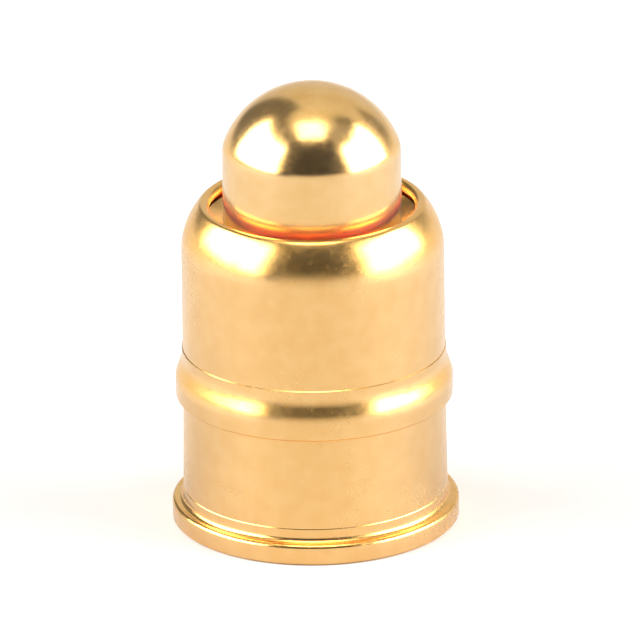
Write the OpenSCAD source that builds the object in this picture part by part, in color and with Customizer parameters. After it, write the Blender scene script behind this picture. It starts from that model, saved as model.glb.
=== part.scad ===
// Spring-loaded contact pin: a turned barrel with a rolled-in mouth, a round
// nosed plunger that slides in it, and a coil spring underneath the plunger.
// Millimetres. The pin stands on its base flange, +Z up, its axis on Z and its
// origin in the middle of the solder face.

/* [Base flange] */
// Diameter of the base flange
flange_d = 2.41; // [2.34:0.01:2.8]
// Height of the base flange
flange_h = 0.18; // [0.14:0.01:0.2]
// Rounding of the flange's upper edge
flange_round = 0.035; // [0.02:0.005:0.05]
// Radius of the fillet between the flange and the barrel
flange_fillet = 0.045; // [0.02:0.005:0.05]

/* [Barrel] */
// Diameter of the barrel at its foot
lower_d = 2.222; // [2.2:0.002:2.23]
// How much narrower the lower barrel is where it meets the ring
lower_taper = 0.015; // [0.005:0.005:0.02]
// Diameter of the barrel above the ring
upper_d = 2.205; // [2.19:0.005:2.21]
// Height of the tool mark above the base flange
lower_line_z = 0.295; // [0.27:0.005:0.35]
// Diameter of the bore that the plunger's collar runs in
bore_d = 1.88; // [1.875:0.001:1.885]
// Height of the bore's floor
floor_z = 0.40; // [0.3:0.01:0.42]

/* [Retaining ring] */
// Diameter of the retaining ring
ring_d = 2.33; // [2.26:0.01:2.36]
// Height of the ring's lower edge
ring_z = 1.10; // [1.0:0.01:1.12]
// Height of the ring's straight band
ring_h = 0.17; // [0.1:0.01:0.18]
// Height of the ring's lead-in cone
ring_lead = 0.165; // [0.14:0.005:0.18]
// How much narrower the ring's band is at its lower edge
ring_taper = 0.003; // [0.002:0.001:0.006]
// Height of the tool mark above the ring
upper_line_z = 1.53; // [1.5:0.01:1.6]

/* [Rolled mouth] */
// Radius of the rolled-in shoulder, seen in section
shoulder_r = 0.65; // [0.645:0.005:0.655]
// Height of the centre of the shoulder's arc
shoulder_z = 2.37; // [2.36:0.005:2.38]
// Angle that the shoulder turns through to the lip
shoulder_a = 40; // [39:1:41]
// Thickness of the rounded lip
lip_t = 0.10; // [0.09:0.005:0.1]

/* [Plunger] */
// Diameter of the plunger's stem
stem_d = 1.50; // [1.4:0.01:1.56]
// Radius of the round nose
nose_r = 0.79; // [0.785:0.005:0.9]
// Height of the tip of the nose at rest
tip_z = 3.84; // [3.7:0.01:3.9]
// Diameter of the collar inside the barrel
collar_d = 1.85; // [1.84:0.005:1.855]
// Depth of the relief cut between the collar and the stem
relief = 0.08; // [0.02:0.01:0.1]
// Height of the collar's lower end at rest
collar_z = 1.35; // [1.3:0.01:1.6]
// Diameter of the hole for the spring in the plunger
spring_hole_d = 1.24; // [1.22:0.01:1.26]
// Height of the bottom of that hole at rest
spring_hole_z = 2.95; // [2.8:0.01:3.0]

/* [Spring] */
// Mean diameter of the coils
coil_d = 1.00; // [0.96:0.01:1.02]
// Diameter of the spring wire
wire_d = 0.14; // [0.1:0.01:0.15]
// Open turns between the closed ends
open_turns = 7; // [5:1:8]

/* [Hidden] */
$fn = 96;

gold = [0.93, 0.72, 0.38];
gold_bright = [0.96, 0.78, 0.45];
steel = [0.74, 0.74, 0.76];

lr = lower_d / 2;
ur = upper_d / 2;
lower_band_r = lr + 0.004;   // the cutter's last pass left this much more
upper_band_r = ur + 0.008;
rim_draw = 0.002;            // the flange's rim leans in this much at its foot
line_h = 0.006;              // height of the small slope at each tool mark
shoulder_c = ur - shoulder_r * cos(5);
lip_c = shoulder_c + (shoulder_r - lip_t / 2) * cos(shoulder_a);
lip_cz = shoulder_z + (shoulder_r - lip_t / 2) * sin(shoulder_a);
shoulder_start_z = shoulder_z + shoulder_r * sin(5);

// The collar's upper edge sits just below the curled-in wall of the bore.
collar_top_z = shoulder_z + sqrt(pow(shoulder_r - lip_t, 2)
               - pow(collar_d / 2 - shoulder_c, 2)) - 0.016;
nose_c = tip_z - nose_r;
nose_join_z = nose_c + sqrt(nose_r * nose_r - stem_d * stem_d / 4);

// ---- barrel ------------------------------------------------------------

module flange_outline() {
    r = flange_d / 2;
    difference() {
        union() {
            polygon([[0, 0], [r - rim_draw - 0.015, 0], [r - rim_draw, 0.015],
                     [r, flange_h - flange_round],
                     [r - flange_round, flange_h - flange_round],
                     [r - flange_round, flange_h], [0, flange_h]]);
            translate([r - flange_round, flange_h - flange_round])
                circle(r = flange_round);
            // stock that the fillet is cut from
            translate([0, flange_h - 0.001])
                square([lower_band_r + 0.001 + flange_fillet,
                        flange_fillet + 0.001]);
        }
        translate([lower_band_r + 0.001 + flange_fillet,
                   flange_h + flange_fillet])
            circle(r = flange_fillet);
    }
}

module ring_outline() {
    r = ring_d / 2;
    z1 = ring_z + ring_h;
    polygon([[0, ring_z], [r - ring_taper / 2 - 0.012, ring_z],
             [r - ring_taper / 2, ring_z + 0.012],
             [r, z1], [upper_band_r, z1 + ring_lead],
             [upper_band_r - 0.001, upper_line_z - line_h],
             [ur, upper_line_z],
             [0, upper_line_z]]);
}

module barrel_outline() {
    flange_outline();
    // lower barrel with the tool mark near its foot
    polygon([[0, 0.05], [lower_band_r + 0.001, 0.05],
             [lower_band_r + 0.001, flange_h + flange_fillet],
             [lower_band_r, lower_line_z - line_h], [lr, lower_line_z],
             [lr - lower_taper / 2, ring_z], [0, ring_z]]);
    ring_outline();
    // upper barrel, up to where the wall starts to curl in
    translate([0, ring_z + 0.1])
        square([ur, shoulder_start_z - ring_z - 0.1]);
    // the curled-in shoulder, cut off square to the arc
    intersection() {
        translate([shoulder_c, shoulder_z]) circle(r = shoulder_r, $fn = 256);
        polygon([[shoulder_c, shoulder_z],
                 [shoulder_c + 2 * cos(5), shoulder_z + 2 * sin(5)],
                 [shoulder_c + 2 * cos(shoulder_a),
                  shoulder_z + 2 * sin(shoulder_a)]]);
    }
    translate([lip_c, lip_cz]) circle(r = lip_t / 2);
}

// What is bored out: a straight bore that follows the curl at the top.
module bore_outline() {
    rb = bore_d / 2;
    ri = shoulder_r - lip_t;
    zi = shoulder_z + sqrt(ri * ri - pow(rb - shoulder_c, 2));
    chamfer = 0.05;
    polygon([[0, floor_z], [rb - chamfer, floor_z],
             [rb, floor_z + chamfer], [rb, zi], [0, zi]]);
    intersection() {
        translate([shoulder_c, shoulder_z]) circle(r = ri, $fn = 256);
        translate([0, shoulder_start_z]) square([rb, 1]);
    }
}

module barrel() {
    color(gold)
    rotate_extrude()
    difference() {
        barrel_outline();
        bore_outline();
    }
}

// ---- plunger -----------------------------------------------------------

module plunger() {
    rc = collar_d / 2;
    rs = stem_d / 2;
    rh = spring_hole_d / 2;
    color(gold_bright)
    rotate_extrude()
    difference() {
        union() {
            // collar, with a small edge break below and a stop edge above,
            // and a relief cut round the foot of the stem
            polygon([[0, collar_z], [rc - 0.03, collar_z],
                     [rc, collar_z + 0.03], [rc, collar_top_z],
                     [rc - 0.03, collar_top_z + 0.03],
                     [rs + 0.03, collar_top_z - relief + 0.01],
                     [rs, collar_top_z - relief],
                     [0, collar_top_z - relief]]);
            translate([0, collar_top_z - relief])
                square([rs, nose_join_z - collar_top_z + relief]);
            intersection() {
                translate([0, nose_c]) circle(r = nose_r, $fn = 256);
                translate([0, nose_join_z]) square([rs, 1]);
            }
        }
        // hole for the spring
        polygon([[0, collar_z - 0.1], [rh + 0.04, collar_z - 0.1],
                 [rh + 0.04, collar_z], [rh, collar_z + 0.04],
                 [rh, spring_hole_z], [0, spring_hole_z]]);
    }
}

// ---- spring ------------------------------------------------------------

spring_z0 = floor_z + 0.002;
spring_z1 = spring_hole_z - 0.002;
closed = 1.1;                       // closed turns at each end
sides = 8;
steps = 20;                         // rings for each turn
turns = open_turns + 2 * closed;
last = round(turns * steps);
open_pitch = (spring_z1 - spring_z0 - wire_d * (1 + 2 * closed * 1.02))
             / open_turns;

// Height of the wire's centre after t turns.
function coil_z(t) = spring_z0 + wire_d / 2
    + wire_d * 1.02 * min(t, closed)
    + open_pitch * max(0, min(t, turns - closed) - closed)
    + wire_d * 1.02 * max(0, t - (turns - closed));

function coil_ring(i) = let (t = i * turns / last, a = 360 * t)
    [for (k = [0 : sides - 1]) let (b = 360 * k / sides,
        r = coil_d / 2 + wire_d / 2 * cos(b))
        [r * cos(a), r * sin(a), coil_z(t) + wire_d / 2 * sin(b)]];

module spring() {
    points = [for (i = [0 : last]) each coil_ring(i)];
    walls = [for (i = [0 : last - 1]) for (k = [0 : sides - 1])
        let (a = i * sides + k, b = i * sides + (k + 1) % sides)
        each [[a, b, b + sides], [a, b + sides, a + sides]]];
    foot = [for (k = [sides - 1 : -1 : 0]) k];
    head = [for (k = [0 : sides - 1]) last * sides + k];
    color(steel) polyhedron(points, concat(walls, [foot, head]));
}

barrel();
plunger();
spring();
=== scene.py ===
import bpy, bmesh, math
from mathutils import Vector, Matrix


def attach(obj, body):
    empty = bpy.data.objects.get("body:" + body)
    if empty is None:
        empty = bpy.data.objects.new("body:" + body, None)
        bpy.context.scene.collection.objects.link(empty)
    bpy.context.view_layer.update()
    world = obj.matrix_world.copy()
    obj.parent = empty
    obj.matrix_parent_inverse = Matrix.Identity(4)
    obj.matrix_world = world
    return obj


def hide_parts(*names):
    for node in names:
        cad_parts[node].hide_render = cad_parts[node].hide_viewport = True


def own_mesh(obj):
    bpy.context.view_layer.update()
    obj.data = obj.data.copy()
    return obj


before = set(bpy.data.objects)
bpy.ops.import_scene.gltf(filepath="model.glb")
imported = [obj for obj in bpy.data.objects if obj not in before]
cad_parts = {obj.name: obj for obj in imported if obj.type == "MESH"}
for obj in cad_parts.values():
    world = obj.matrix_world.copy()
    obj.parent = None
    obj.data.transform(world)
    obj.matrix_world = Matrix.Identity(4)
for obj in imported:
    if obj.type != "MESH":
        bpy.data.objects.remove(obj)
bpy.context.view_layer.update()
MM = 0.001
scene = bpy.context.scene


# ---------------------------------------------------------------- profiles --
# Every profile is a list of (radius, height) points in millimetres, running
# round the closed section. The numbers are the ones the CAD part is built on.

def arc(cx, cz, r, a0, a1, n):
    out = []
    for i in range(n + 1):
        a = math.radians(a0 + (a1 - a0) * i / n)
        out.append((cx + r * math.cos(a), cz + r * math.sin(a)))
    return out


def line(p, q, n):
    return [(p[0] + (q[0] - p[0]) * i / n, p[1] + (q[1] - p[1]) * i / n)
            for i in range(n + 1)]


def blend(p, q, r, n):
    """A soft corner at q, from p to r."""
    return [tuple(p[k] * (1 - t) ** 2 + 2 * q[k] * t * (1 - t) + r[k] * t * t
                  for k in (0, 1)) for t in (i / n for i in range(n + 1))]


def join(*runs):
    out = []
    for run in runs:
        for p in run:
            if not out or math.dist(out[-1], p) > 1e-6:
                out.append(p)
    return out


FLANGE_R, FLANGE_H, EDGE, FILLET = 1.205, 0.18, 0.035, 0.045
LR, UR = 1.111, 1.1025
LBAND, UBAND = LR + 0.004, UR + 0.008
RIM_DRAW, LOWER_TAPER, RING_TAPER = 0.002, 0.015, 0.003
LINE_H, LLINE_Z, ULINE_Z = 0.006, 0.295, 1.53
RING_R, RING_Z, RING_H, RING_LEAD = 1.165, 1.10, 0.17, 0.165
SH_R, SH_Z, SH_A, LIP_T = 0.65, 2.37, 40.0, 0.10
SH_C = UR - SH_R * math.cos(math.radians(5))
LIP_C = SH_C + (SH_R - LIP_T / 2) * math.cos(math.radians(SH_A))
LIP_Z = SH_Z + (SH_R - LIP_T / 2) * math.sin(math.radians(SH_A))
BORE_R, FLOOR_Z = 0.94, 0.40
RI = SH_R - LIP_T
BORE_TOP = SH_Z + math.sqrt(RI ** 2 - (BORE_R - SH_C) ** 2)
BORE_A = math.degrees(math.atan2(BORE_TOP - SH_Z, BORE_R - SH_C))

COLLAR_R, STEM_R, HOLE_R = 0.925, 0.75, 0.62
COLLAR_Z, HOLE_Z, RELIEF = 1.35, 2.95, 0.08
COLLAR_TOP = SH_Z + math.sqrt(RI ** 2 - (COLLAR_R - SH_C) ** 2) - 0.016
NOSE_R, TIP_Z = 0.79, 3.84
NOSE_C = TIP_Z - NOSE_R
NOSE_JOIN = NOSE_C + math.sqrt(NOSE_R ** 2 - STEM_R ** 2)
NOSE_A = math.degrees(math.asin((NOSE_JOIN - NOSE_C) / NOSE_R))


def barrel_profile():
    ring_top = RING_Z + RING_H
    return join(
        [(0.0, 0.0)],
        line((0.05, 0.0), (FLANGE_R - RIM_DRAW - 0.015, 0.0), 10),
        line((FLANGE_R - RIM_DRAW, 0.015), (FLANGE_R, FLANGE_H - EDGE), 3),
        arc(FLANGE_R - EDGE, FLANGE_H - EDGE, EDGE, 0, 90, 10),
        arc(LBAND + 0.001 + FILLET, FLANGE_H + FILLET, FILLET, 270, 180, 12),
        line((LBAND + 0.001, FLANGE_H + FILLET), (LBAND, LLINE_Z - LINE_H), 2),
        line((LR, LLINE_Z), (LR - LOWER_TAPER / 2, RING_Z), 10),
        [(RING_R - RING_TAPER / 2 - 0.012, RING_Z)],
        line((RING_R - RING_TAPER / 2, RING_Z + 0.012), (RING_R, ring_top), 3),
        line((RING_R, ring_top), (UBAND, ring_top + RING_LEAD), 3),
        line((UBAND, ring_top + RING_LEAD), (UBAND - 0.001, ULINE_Z - LINE_H), 2),
        [(UR, ULINE_Z)],
        line((UR, ULINE_Z), (UR, SH_Z + SH_R * math.sin(math.radians(5))), 12),
        arc(SH_C, SH_Z, SH_R, 5, SH_A, 24),
        arc(LIP_C, LIP_Z, LIP_T / 2, SH_A, SH_A + 180, 16),
        arc(SH_C, SH_Z, RI, SH_A, BORE_A, 6),
        line((BORE_R, BORE_TOP), (BORE_R, FLOOR_Z + 0.05), 6),
        [(BORE_R - 0.05, FLOOR_Z)],
        line((BORE_R - 0.05, FLOOR_Z), (0.05, FLOOR_Z), 3),
        [(0.0, FLOOR_Z)],
    )


def plunger_profile():
    return join(
        [(0.0, HOLE_Z)],
        line((0.05, HOLE_Z), (HOLE_R, HOLE_Z), 3),
        line((HOLE_R, HOLE_Z), (HOLE_R, COLLAR_Z + 0.04), 6),
        [(HOLE_R + 0.04, COLLAR_Z)],
        [(COLLAR_R - 0.03, COLLAR_Z)],
        [(COLLAR_R, COLLAR_Z + 0.03)],
        line((COLLAR_R, COLLAR_Z + 0.03), (COLLAR_R, COLLAR_TOP), 6),
        [(COLLAR_R - 0.03, COLLAR_TOP + 0.03)],
        [(STEM_R + 0.03, COLLAR_TOP - RELIEF + 0.01)],
        line((STEM_R, COLLAR_TOP - RELIEF), (STEM_R, NOSE_JOIN - 0.045), 8),
        blend((STEM_R, NOSE_JOIN - 0.045), (STEM_R, NOSE_JOIN),
              arc(0.0, NOSE_C, NOSE_R, NOSE_A + 3.5, 90, 1)[0], 8),
        arc(0.0, NOSE_C, NOSE_R, NOSE_A + 3.5, 89.0, 44),
        [(0.0, TIP_Z)],
    )


def lathe(name, profile, segments, crease=25.0):
    """A closed solid of revolution from a profile that starts and ends on
    the axis. Edges where the profile turns sharply are marked sharp."""
    bm = bmesh.new()
    rings = []
    for r, z in profile:
        if r < 1e-6:
            rings.append([bm.verts.new((0.0, 0.0, z * MM))])
        else:
            rings.append([bm.verts.new((r * MM * math.cos(t), r * MM * math.sin(t), z * MM))
                          for t in (2 * math.pi * k / segments for k in range(segments))])
    for lo, hi in zip(rings[:-1], rings[1:]):
        for k in range(segments):
            j = (k + 1) % segments
            if len(lo) == 1:
                bm.faces.new((lo[0], hi[j], hi[k]))
            elif len(hi) == 1:
                bm.faces.new((lo[k], lo[j], hi[0]))
            else:
                bm.faces.new((lo[k], lo[j], hi[j], hi[k]))
    bmesh.ops.recalc_face_normals(bm, faces=bm.faces)
    for f in bm.faces:
        f.smooth = True
    # sharp rings
    for i in range(1, len(profile) - 1):
        a, b, c = profile[i - 1], profile[i], profile[i + 1]
        t0 = math.atan2(b[1] - a[1], b[0] - a[0])
        t1 = math.atan2(c[1] - b[1], c[0] - b[0])
        turn = abs(math.degrees((t1 - t0 + math.pi) % (2 * math.pi) - math.pi))
        if turn > crease and len(rings[i]) > 1:
            ring = rings[i]
            for k in range(segments):
                e = bm.edges.get((ring[k], ring[(k + 1) % segments]))
                if e:
                    e.smooth = False
    mesh = bpy.data.meshes.new(name)
    bm.to_mesh(mesh)
    bm.free()
    obj = bpy.data.objects.new(name, mesh)
    scene.collection.objects.link(obj)
    return obj


def coil(name, sides=18, steps=44):
    z0, z1, wire, mean, closed, open_turns = 0.402, 2.948, 0.14, 0.5, 1.1, 7
    turns = open_turns + 2 * closed
    pitch = (z1 - z0 - wire * (1 + 2 * closed * 1.02)) / open_turns
    n = round(turns * steps)

    def height(t):
        return (z0 + wire / 2 + wire * 1.02 * min(t, closed)
                + pitch * max(0.0, min(t, turns - closed) - closed)
                + wire * 1.02 * max(0.0, t - (turns - closed)))
    bm = bmesh.new()
    rings = []
    for i in range(n + 1):
        t = i * turns / n
        a = 2 * math.pi * t
        ring = []
        for k in range(sides):
            b = 2 * math.pi * k / sides
            r = mean + wire / 2 * math.cos(b)
            ring.append(bm.verts.new((r * MM * math.cos(a), r * MM * math.sin(a),
                                      (height(t) + wire / 2 * math.sin(b)) * MM)))
        rings.append(ring)
    for lo, hi in zip(rings[:-1], rings[1:]):
        for k in range(sides):
            j = (k + 1) % sides
            bm.faces.new((lo[k], lo[j], hi[j], hi[k]))
    bm.faces.new(rings[0])
    bm.faces.new(list(reversed(rings[-1])))
    bmesh.ops.recalc_face_normals(bm, faces=bm.faces)
    for f in bm.faces:
        f.smooth = len(f.verts) == 4
    mesh = bpy.data.meshes.new(name)
    bm.to_mesh(mesh)
    bm.free()
    obj = bpy.data.objects.new(name, mesh)
    scene.collection.objects.link(obj)
    return obj


# --------------------------------------------------------------- materials --

class Nodes:
    """A small helper for building node trees."""

    def __init__(self, tree):
        self.tree = tree
        tree.nodes.clear()

    def add(self, kind, **props):
        node = self.tree.nodes.new(kind)
        inputs = props.pop("inputs", {})
        for key, value in props.items():
            setattr(node, key, value)
        for key, value in inputs.items():
            sock = node.inputs[key]
            if isinstance(value, bpy.types.NodeSocket):
                self.tree.links.new(value, sock)
            else:
                sock.default_value = value
        return node

    def math(self, op, a, b=None, c=None, clamp=False):
        node = self.add("ShaderNodeMath", operation=op, use_clamp=clamp)
        for i, v in enumerate((a, b, c)):
            if v is None:
                continue
            if isinstance(v, bpy.types.NodeSocket):
                self.tree.links.new(v, node.inputs[i])
            else:
                node.inputs[i].default_value = v
        return node.outputs[0]

    def remap(self, value, lo, hi, to_lo, to_hi, smooth=False):
        node = self.add("ShaderNodeMapRange", clamp=True)
        if smooth:
            node.interpolation_type = "SMOOTHSTEP"
        self.tree.links.new(value, node.inputs["Value"])
        node.inputs["From Min"].default_value = lo
        node.inputs["From Max"].default_value = hi
        node.inputs["To Min"].default_value = to_lo
        node.inputs["To Max"].default_value = to_hi
        return node.outputs["Result"]

    def noise(self, vector, scale, detail=3.0, rough=0.5, dims="3D"):
        node = self.add("ShaderNodeTexNoise", noise_dimensions=dims)
        if vector is not None:
            self.tree.links.new(vector, node.inputs["Vector" if dims != "1D" else "W"])
        node.inputs["Scale"].default_value = scale
        node.inputs["Detail"].default_value = detail
        node.inputs["Roughness"].default_value = rough
        return node.outputs["Fac"]

    def mix_colour(self, fac, a, b, blend="MIX"):
        node = self.add("ShaderNodeMix", data_type="RGBA", blend_type=blend, clamp_factor=True)
        for key, v in ((0, fac), (6, a), (7, b)):
            if isinstance(v, bpy.types.NodeSocket):
                self.tree.links.new(v, node.inputs[key])
            else:
                node.inputs[key].default_value = v
        return node.outputs[2]


def gold(name, deep, pale, rough_lo, rough_hi, turned=1.0, glare_sheen_scale=1.0):
    """Bright electroplate over turned brass: faint cut rings, a soft mottle,
    nicks on the flange's edge, and a rough coat, heavy on the straight walls, whose pale reflection of the side
    lights is a painted sheen standing in for glare."""
    mat = bpy.data.materials.new(name)
    mat.use_nodes = True
    n = Nodes(mat.node_tree)
    out = n.add("ShaderNodeOutputMaterial")
    bsdf = n.add("ShaderNodeBsdfPrincipled")
    n.tree.links.new(bsdf.outputs[0], out.inputs[0])
    bsdf.inputs["Metallic"].default_value = 1.0
    # painted sheen: the coat is full on the straight walls and faint on the nose,
    # the rolled shoulder and the other curved faces, standing in for glare
    facing = n.add("ShaderNodeSeparateXYZ", inputs={0: n.add("ShaderNodeNewGeometry").outputs["Normal"]})
    glare_sheen_weight = n.remap(n.math("ABSOLUTE", facing.outputs[2]), 0.10, 0.34, glare_sheen_scale, 0.10 * glare_sheen_scale, True)
    n.tree.links.new(glare_sheen_weight, bsdf.inputs["Coat Weight"])
    bsdf.inputs["Coat Roughness"].default_value = 0.5
    bsdf.inputs["Coat IOR"].default_value = 1.9
    coord = n.add("ShaderNodeTexCoord").outputs["Object"]
    sep = n.add("ShaderNodeSeparateXYZ", inputs={0: coord})
    x, y, z = sep.outputs
    radius = n.math("SQRT", n.math("ADD", n.math("MULTIPLY", x, x), n.math("MULTIPLY", y, y)))
    # cut lines left by turning: they depend on radius and height only
    along = n.math("ADD", z, n.math("MULTIPLY", radius, 0.83))
    lines = n.noise(n.math("MULTIPLY", along, 1000.0), 24.0, 1.0, 0.5, "1D")
    mottle = n.noise(coord, 6500.0, 4.0, 0.55)
    fine = n.noise(coord, 22000.0, 1.0, 0.5)
    soft = n.noise(coord, 1300.0, 2.0, 0.5)
    # nicks and burrs round the flange's upper edge
    edge = n.math("MULTIPLY", n.remap(radius, 1.13e-3, 1.19e-3, 0.0, 1.0, True),
                  n.remap(z, 0.11e-3, 0.16e-3, 0.0, 1.0, True))
    edge = n.math("MULTIPLY", edge, n.remap(z, 0.20e-3, 0.24e-3, 1.0, 0.0, True))
    nicks = n.math("MULTIPLY", edge, n.remap(n.noise(coord, 9000.0, 3.0, 0.6), 0.42, 0.66, 0.0, 1.0, True))
    colour = n.mix_colour(n.remap(mottle, 0.3, 0.7, 0.0, 1.0, True), deep, pale)
    n.tree.links.new(colour, bsdf.inputs["Base Color"])
    rough = n.math("ADD", n.remap(soft, 0.3, 0.7, rough_lo, rough_hi),
                   n.remap(fine, 0.3, 0.7, -0.02, 0.03))
    n.tree.links.new(rough, bsdf.inputs["Roughness"])
    height = n.math("ADD", n.math("MULTIPLY", lines, 0.30 * turned),
                    n.math("ADD", n.math("MULTIPLY", mottle, 0.30),
                           n.math("SUBTRACT", n.math("MULTIPLY", fine, 0.08),
                                  n.math("MULTIPLY", nicks, 2.2))))
    bump = n.add("ShaderNodeBump")
    bump.inputs["Strength"].default_value = 0.30
    bump.inputs["Distance"].default_value = 1.2e-6
    n.tree.links.new(height, bump.inputs["Height"])
    n.tree.links.new(bump.outputs[0], bsdf.inputs["Normal"])
    return mat


def wire_steel(name):
    mat = bpy.data.materials.new(name)
    mat.use_nodes = True
    n = Nodes(mat.node_tree)
    out = n.add("ShaderNodeOutputMaterial")
    bsdf = n.add("ShaderNodeBsdfPrincipled")
    n.tree.links.new(bsdf.outputs[0], out.inputs[0])
    bsdf.inputs["Metallic"].default_value = 1.0
    coord = n.add("ShaderNodeTexCoord").outputs["Object"]
    mottle = n.noise(coord, 6000.0, 4.0, 0.6)
    draw = n.noise(coord, 26000.0, 2.0, 0.5)
    n.tree.links.new(n.mix_colour(mottle, (0.50, 0.50, 0.52, 1), (0.68, 0.68, 0.69, 1)),
                     bsdf.inputs["Base Color"])
    n.tree.links.new(n.remap(mottle, 0.3, 0.7, 0.2, 0.34), bsdf.inputs["Roughness"])
    bump = n.add("ShaderNodeBump")
    bump.inputs["Strength"].default_value = 0.3
    bump.inputs["Distance"].default_value = 1.5e-6
    n.tree.links.new(draw, bump.inputs["Height"])
    n.tree.links.new(bump.outputs[0], bsdf.inputs["Normal"])
    return mat


# ------------------------------------------------------------------ pieces --

barrel = lathe("turned_barrel", barrel_profile(), 384)
plunger = lathe("round_nose_plunger", plunger_profile(), 384)
spring = coil("coil_spring")

barrel.data.materials.append(gold("gold_barrel", (0.92, 0.51, 0.13, 1), (0.97, 0.57, 0.17, 1), 0.20, 0.26))
plunger.data.materials.append(gold("gold_plunger", (0.93, 0.55, 0.17, 1), (0.98, 0.61, 0.22, 1), 0.16, 0.20, 0.6))
spring.data.materials.append(wire_steel("spring_wire"))

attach(barrel, "barrel")
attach(plunger, "plunger")
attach(spring, "spring")
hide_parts("barrel")
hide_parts("plunger")
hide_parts("spring")
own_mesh(spring)


# ------------------------------------------------------------ floor, light --

def pale_floor():
    mesh = bpy.data.meshes.new("studio_floor")
    s = 1.5   # half the floor's width
    mesh.from_pydata([(-s, -s, 0), (s, -s, 0), (s, s, 0), (-s, s, 0)], [], [(0, 1, 2, 3)])
    obj = bpy.data.objects.new("studio_floor", mesh)
    scene.collection.objects.link(obj)
    mat = bpy.data.materials.new("studio_floor")
    mat.use_nodes = True
    n = Nodes(mat.node_tree)
    out = n.add("ShaderNodeOutputMaterial")
    bsdf = n.add("ShaderNodeBsdfPrincipled")
    n.tree.links.new(bsdf.outputs[0], out.inputs[0])
    coord = n.add("ShaderNodeTexCoord").outputs["Object"]
    grain = n.noise(coord, 900.0, 3.0, 0.5)
    n.tree.links.new(n.mix_colour(grain, (0.42, 0.42, 0.42, 1), (0.44, 0.44, 0.44, 1)),
                     bsdf.inputs["Base Color"])
    bsdf.inputs["Roughness"].default_value = 0.8
    bsdf.inputs["Specular IOR Level"].default_value = 0.1
    glow = n.add("ShaderNodeEmission")     # the paper looks burnt out to the camera
    glow.inputs["Color"].default_value = (1.0, 1.0, 1.0, 1.0)
    n.tree.links.new(n.math("MULTIPLY", n.add("ShaderNodeLightPath").outputs["Is Camera Ray"], 0.30),
                     glow.inputs["Strength"])
    both = n.add("ShaderNodeAddShader")
    n.tree.links.new(bsdf.outputs[0], both.inputs[0])
    n.tree.links.new(glow.outputs[0], both.inputs[1])
    n.tree.links.new(both.outputs[0], out.inputs[0])
    obj.data.materials.append(mat)
    return obj


pale_floor()

# The studio round the table, as seen from the object: two large soft boxes
# at the sides, a small one overhead, a dark opening where the camera stands
# and pale walls behind. Azimuth 0 is towards the camera, + to its right.
world = bpy.data.worlds.new("studio")
scene.world = world
world.use_nodes = True
w = Nodes(world.node_tree)
w_out = w.add("ShaderNodeOutputWorld")
w_dir = w.add("ShaderNodeTexCoord").outputs["Generated"]
w_sep = w.add("ShaderNodeSeparateXYZ", inputs={0: w_dir})
wx, wy, wz = w_sep.outputs
TO_DEG = 180.0 / math.pi
azim = w.math("MULTIPLY", w.math("ARCTAN2", wx, w.math("MULTIPLY", wy, -1.0)), TO_DEG)
elev = w.math("MULTIPLY", w.math("ARCSINE", wz), TO_DEG)
side = w.math("ABSOLUTE", azim)


def band(value, lo, hi, soft):
    a = w.remap(value, lo - soft, lo + soft, 0.0, 1.0, True)
    b = w.remap(value, hi - soft, hi + soft, 1.0, 0.0, True)
    return w.math("MULTIPLY", a, b)


def patch(az0, az1, el0, el1, soft):
    return w.math("MULTIPLY", band(azim, az0, az1, soft), band(elev, el0, el1, soft))


def lay(under, mask, value):
    """value where mask is 1, under where it is 0"""
    keep = w.math("MULTIPLY", under, w.math("SUBTRACT", 1.0, mask))
    return w.math("ADD", keep, w.math("MULTIPLY", mask, value))


sky = w.remap(elev, 50.0, 80.0, 0.72, 0.86)                 # pale walls and ceiling
sky = lay(sky, patch(-158.0, -28.0, 2.0, 67.0, 5.0), 0.16)   # dark kit at the left
sky = lay(sky, patch(25.0, 118.0, 40.0, 67.0, 6.0), 0.34)
sky = lay(sky, patch(94.0, 118.0, 44.0, 66.0, 5.0), 0.16)
sky = lay(sky, patch(124.0, 142.0, 6.0, 34.0, 5.0), 0.30)
sky = lay(sky, patch(-43.0, 45.0, 8.0, 61.0, 4.0), 0.05)   # where the camera stands
sky = lay(sky, patch(-119.0, -47.0, 7.0, 47.0, 4.5), 8.0)    # left soft box
sky = lay(sky, patch(53.0, 111.0, 4.0, 43.0, 4.5), 10.0)      # right soft box
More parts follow.
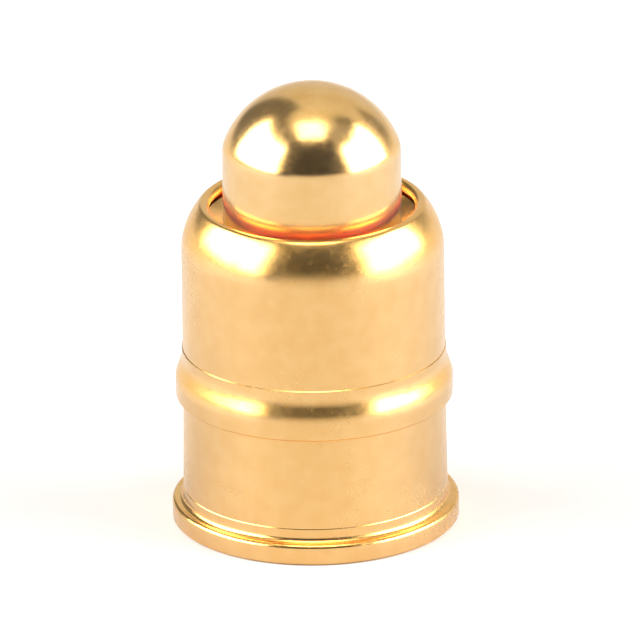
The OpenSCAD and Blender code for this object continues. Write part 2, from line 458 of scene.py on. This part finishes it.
# overhead box, a rectangle in the plane above the object
over_x = w.math("DIVIDE", wx, w.math("MAXIMUM", wz, 0.05))
over_y = w.math("DIVIDE", w.math("MULTIPLY", wy, -1.0), w.math("MAXIMUM", wz, 0.05))
over = w.math("MULTIPLY", band(over_x, -0.27, 0.27, 0.06), band(over_y, 0.03, 0.46, 0.06))
over = w.math("MULTIPLY", over, w.math("GREATER_THAN", wz, 0.1))
sky = lay(sky, over, 5.0)
w_env = w.add("ShaderNodeBackground")
tint = w.add("ShaderNodeCombineColor")
for k, gain in enumerate((1.0, 0.99, 0.965)):
    w.tree.links.new(w.math("MULTIPLY", sky, gain), tint.inputs[k])
w.tree.links.new(tint.outputs[0], w_env.inputs["Color"])
w_plain = w.add("ShaderNodeBackground", inputs={"Color": (1.0, 1.0, 1.0, 1.0)})
w_mix = w.add("ShaderNodeMixShader")
w.tree.links.new(w.add("ShaderNodeLightPath").outputs["Is Camera Ray"], w_mix.inputs[0])
w.tree.links.new(w_env.outputs[0], w_mix.inputs[1])
w.tree.links.new(w_plain.outputs[0], w_mix.inputs[2])
w.tree.links.new(w_mix.outputs[0], w_out.inputs[0])

scene.cycles.max_bounces = 16
scene.cycles.glossy_bounces = 12

# ------------------------------------------------------------------ camera --
# Orthographic-looking long lens. Image scale, tilt and lean of the picture:
PX = 0.00842 * MM          # size of one picture element at the object
ELEV = math.radians(21.35)
ROLL = math.radians(-0.7)
LENS = 1200.0
DIST = 640 * PX * LENS / 36.0
cam_data = bpy.data.cameras.new("camera")
cam = bpy.data.objects.new("camera", cam_data)
scene.collection.objects.link(cam)
cam_data.lens = LENS
cam_data.sensor_width = 36.0
cam_data.clip_start = 0.01
cam_data.clip_end = 10.0
cam_data.dof.use_dof = False
# the base centre shows at (316, 512.5) and the picture's centre is (320, 320)
fwd = Vector((0, math.cos(ELEV), -math.sin(ELEV)))
right0 = Vector((1, 0, 0))
up0 = right0.cross(fwd)
right = right0 * math.cos(ROLL) + up0 * math.sin(ROLL)
up = up0 * math.cos(ROLL) - right0 * math.sin(ROLL)
target = right * ((320 - 316) * PX) + up * ((512.5 - 320) * PX)
loc = target - fwd * DIST
rot = Matrix((right, up, -fwd)).transposed()
cam.matrix_world = Matrix.Translation(loc) @ rot.to_4x4()
scene.camera = cam

scene.view_settings.view_transform = "Standard"
